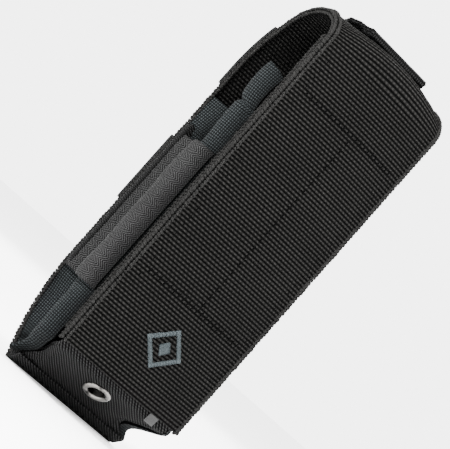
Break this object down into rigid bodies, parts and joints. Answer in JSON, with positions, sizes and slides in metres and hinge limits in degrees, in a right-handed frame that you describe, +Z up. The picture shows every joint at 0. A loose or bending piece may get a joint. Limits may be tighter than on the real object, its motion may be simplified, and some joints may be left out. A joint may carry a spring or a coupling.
{
  "type": "belt sheath for a folding multi-tool",
  "caption": "Upright webbing belt sheath for a folding multi-tool, with an over-the-top flap, elastic side gussets, a drain eyelet and a snap-down belt strap.",
  "frame": {"origin": "middle of the box's underside, with the sheath upright as worn", "axes": "+Z up as worn, +Y towards the wearer (the belt strap's side), -Y out through the flap's front, X across the width"},
  "size_m": [0.0556, 0.0482, 0.1469],
  "materials": {
    "wide_webbing": "ribbed nylon webbing with a knitted selvedge",
    "narrow_webbing": "plain woven nylon webbing",
    "gusset_cloth": "basket-weave nylon cloth",
    "elastic": "herringbone woven elastic",
    "twill": "twill-woven nylon",
    "binding": "folded binding tape",
    "hook_and_loop": "hook-and-loop fastener",
    "thread": "bonded sewing thread",
    "emblem_thread": "satin-stitched embroidery thread",
    "label_cloth": "plain woven label",
    "nickel": "plated, polished"
  },
  "bodies": {
    "pouch": {"back_panel": "wide_webbing", "pocket_front": "wide_webbing", "loop_fastener": "hook_and_loop", "left_gusset": "gusset_cloth", "right_gusset": "gusset_cloth", "left_elastic_band": "elastic", "right_elastic_band": "elastic", "left_edge_binding": "binding", "right_edge_binding": "binding", "bottom_panel": "twill", "bottom_hem": "twill", "drain_eyelet": "nickel", "eyelet_washer": "nickel", "upper_molle_row": "narrow_webbing", "lower_molle_row": "narrow_webbing", "strap_anchor": "narrow_webbing", "snap_stud": "nickel", "stud_rivet": "nickel", "side_label": "label_cloth", "pouch_stitching": "thread"},
    "crown": {"flap_crown": "wide_webbing", "hanging_loop": "narrow_webbing", "loop_stitching": "thread"},
    "flap": {"flap_front": "wide_webbing", "hook_fastener": "hook_and_loop", "flap_stitching": "thread", "flap_emblem": "emblem_thread"},
    "strap": {"belt_strap": "narrow_webbing", "snap_cap": "nickel", "snap_socket": "nickel", "strap_stitching": "thread"}
  },
  "joints": [
    {"name": "crown_lift", "type": "hinge", "parent": "pouch", "child": "crown", "pos_m": [0, 0.00833, 0.13199], "axis": [-1, 0, 0], "range_deg": [0, 80]},
    {"name": "flap_lift", "type": "hinge", "parent": "crown", "child": "flap", "pos_m": [0, -0.02278, 0.1336], "axis": [-1, 0, 0], "range_deg": [0, 100]},
    {"name": "strap_swing", "type": "hinge", "parent": "pouch", "child": "strap", "pos_m": [0, 0.01701, 0.12056], "axis": [1, 0, 0], "range_deg": [0, 120]}
  ]
}
